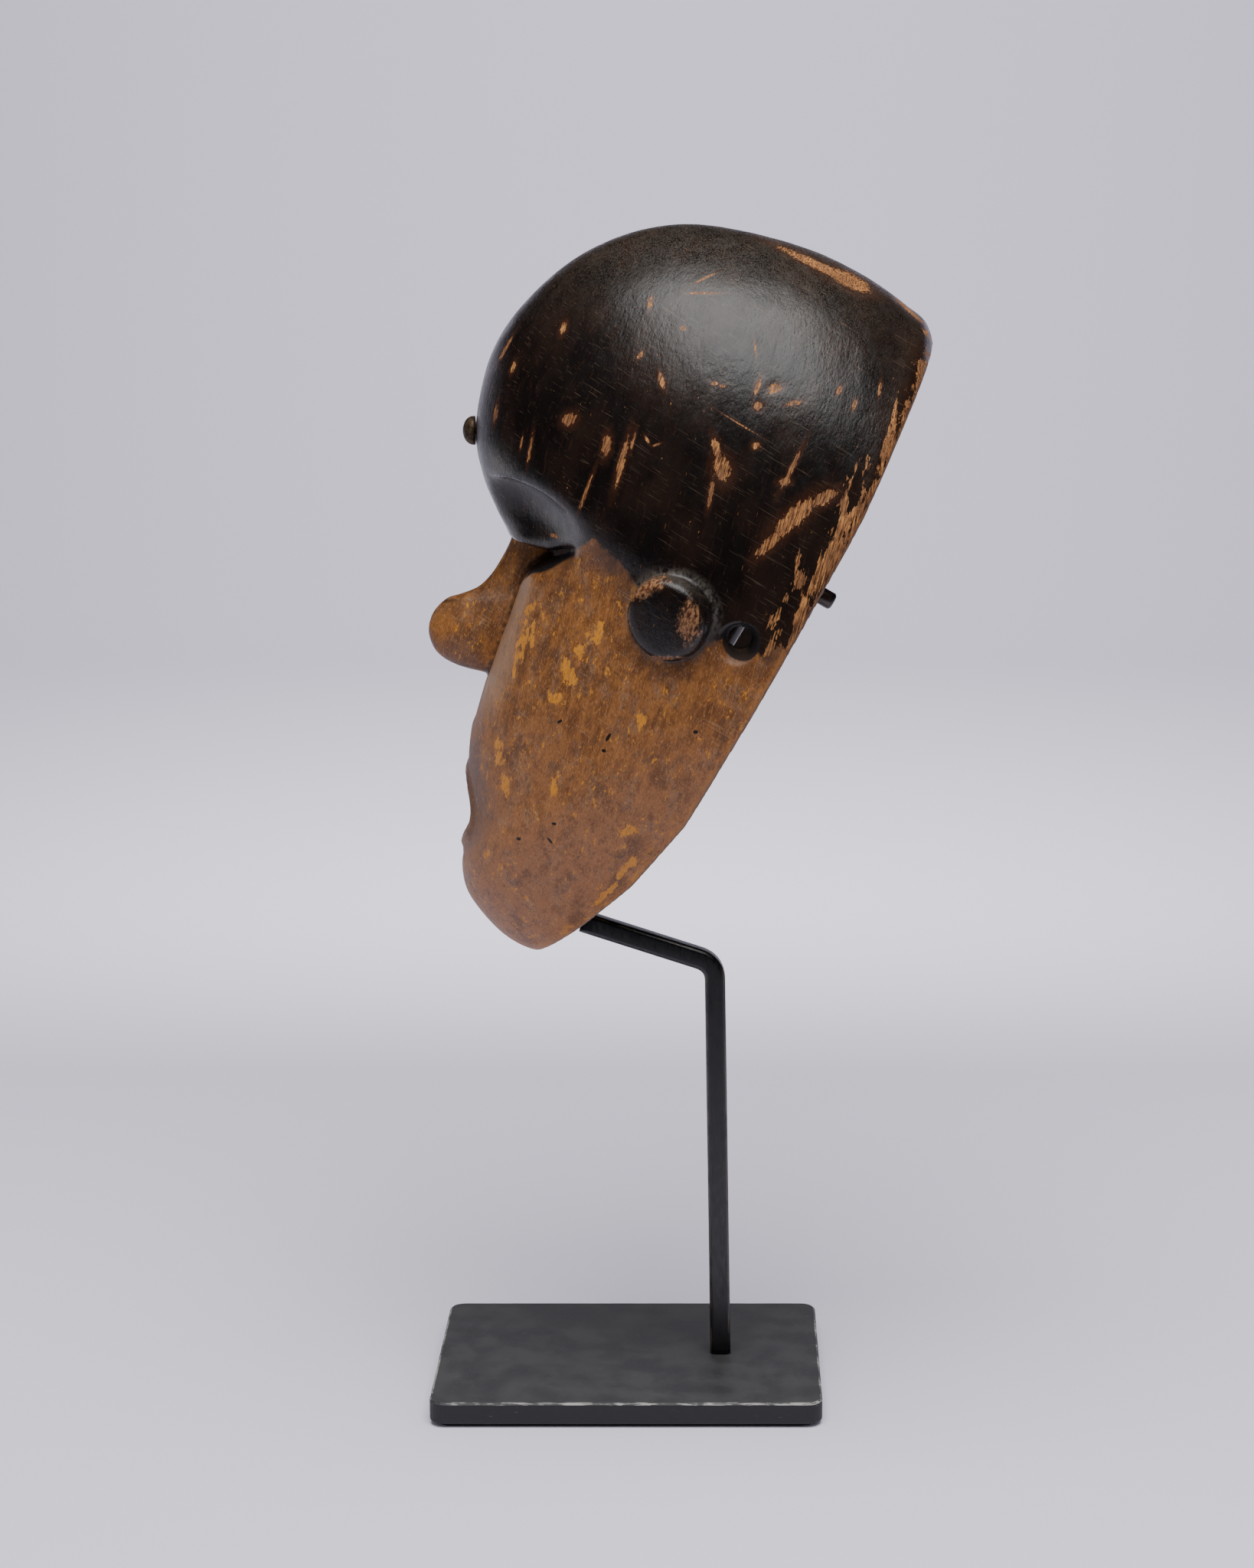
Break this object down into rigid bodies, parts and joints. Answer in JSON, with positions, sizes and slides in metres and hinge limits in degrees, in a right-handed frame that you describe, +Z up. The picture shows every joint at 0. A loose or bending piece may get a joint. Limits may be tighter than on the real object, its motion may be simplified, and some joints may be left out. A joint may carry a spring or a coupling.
{
  "type": "african mask",
  "caption": "Carved wooden face mask with a domed brow, disc ears and hollow back, held on a bent post over a flat steel foot plate.",
  "frame": {"origin": "centre of the stand's underside", "axes": "+Z up, -Y the way the mask looks, +X the mask's own left side"},
  "size_m": [0.2098, 0.2244, 0.5314],
  "materials": {
    "carved_wood": "worn black paint above and ochre paint below, polished by handling",
    "tack_metal": "dark tarnish",
    "stand_black": "satin black",
    "rod_black": "satin black",
    "plate_steel": "dark patina, bright worn edges",
    "felt": "matte"
  },
  "bodies": {
    "root": {"mask": "carved_wood", "forehead_tack": "tack_metal", "stand_post": "stand_black", "inner_support": "rod_black", "base_plate": "plate_steel", "base_felt": "felt"}
  },
  "joints": []
}
